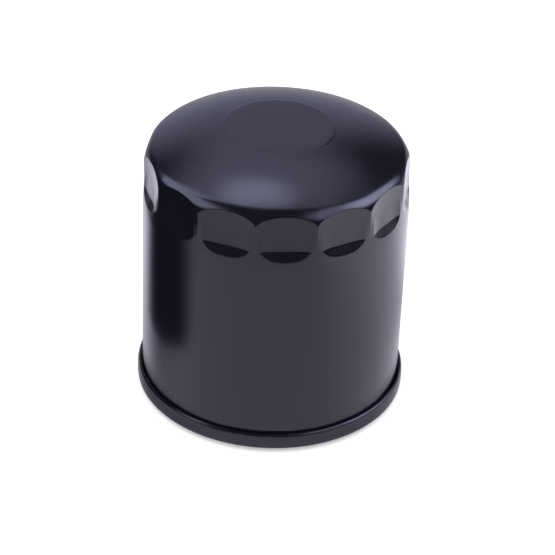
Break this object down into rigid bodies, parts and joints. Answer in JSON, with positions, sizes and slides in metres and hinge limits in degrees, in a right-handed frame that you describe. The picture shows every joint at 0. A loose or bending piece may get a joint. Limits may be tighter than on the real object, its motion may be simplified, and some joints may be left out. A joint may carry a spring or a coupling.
{
  "type": "oil filter",
  "caption": "Spin-on oil filter: a domed, fluted steel can closed by a threaded plate and gasket, with a pleated element, anti-drain valve and bypass valve inside.",
  "frame": {"origin": "centre of the outer gasket's sealing face, on the filter's axis", "axes": "+Z along the filter's axis, from the engine's face towards the domed end; X and Y across it"},
  "size_m": [0.079, 0.079, 0.0845],
  "materials": {
    "black_paint": "satin black enamel",
    "zinc_plate": "bright zinc plate",
    "tin_plate": "bright tinplate",
    "spring_steel": "oiled spring wire",
    "nitrile_rubber": "matte moulded nitrile",
    "silicone_rubber": "matte moulded silicone",
    "plastisol": "cured plastisol",
    "filter_paper": "resin-treated pleated paper",
    "seam_compound": "cured seam compound"
  },
  "bodies": {
    "housing": {"can": "black_paint", "seaming_lid": "black_paint", "tapping_plate": "zinc_plate", "seam_sealant": "seam_compound", "outer_gasket": "nitrile_rubber", "element_spring": "spring_steel"},
    "element": {"lower_end_cap": "tin_plate", "upper_end_cap": "tin_plate", "lower_potting": "plastisol", "upper_potting": "plastisol", "centre_tube": "tin_plate", "filter_media": "filter_paper", "media_clip": "tin_plate", "bypass_housing": "zinc_plate", "bypass_seat": "zinc_plate", "bypass_spring": "spring_steel"},
    "bypass_valve": {"bypass_disc": "zinc_plate", "bypass_seal": "nitrile_rubber", "bypass_stem": "zinc_plate"},
    "anti_drain_lip": {"anti_drain_valve": "silicone_rubber"}
  },
  "joints": [
    {"name": "element_float", "type": "slide", "parent": "housing", "child": "element", "axis": [0, 0, 1], "range_m": [0, 0.0015], "stiffness_N_per_m": 2000, "springref_m": -0.003, "deforming": ["element_spring"]},
    {"name": "bypass_opening", "type": "slide", "parent": "element", "child": "bypass_valve", "axis": [0, 0, -1], "range_m": [0, 0.003], "stiffness_N_per_m": 400, "springref_m": -0.003, "deforming": ["bypass_spring"]},
    {"name": "anti_drain_lift", "type": "slide", "parent": "housing", "child": "anti_drain_lip", "axis": [0, 0, 1], "range_m": [0, 0.0015], "stiffness_N_per_m": 200, "springref_m": -0.001, "deforming": ["anti_drain_valve"]}
  ]
}
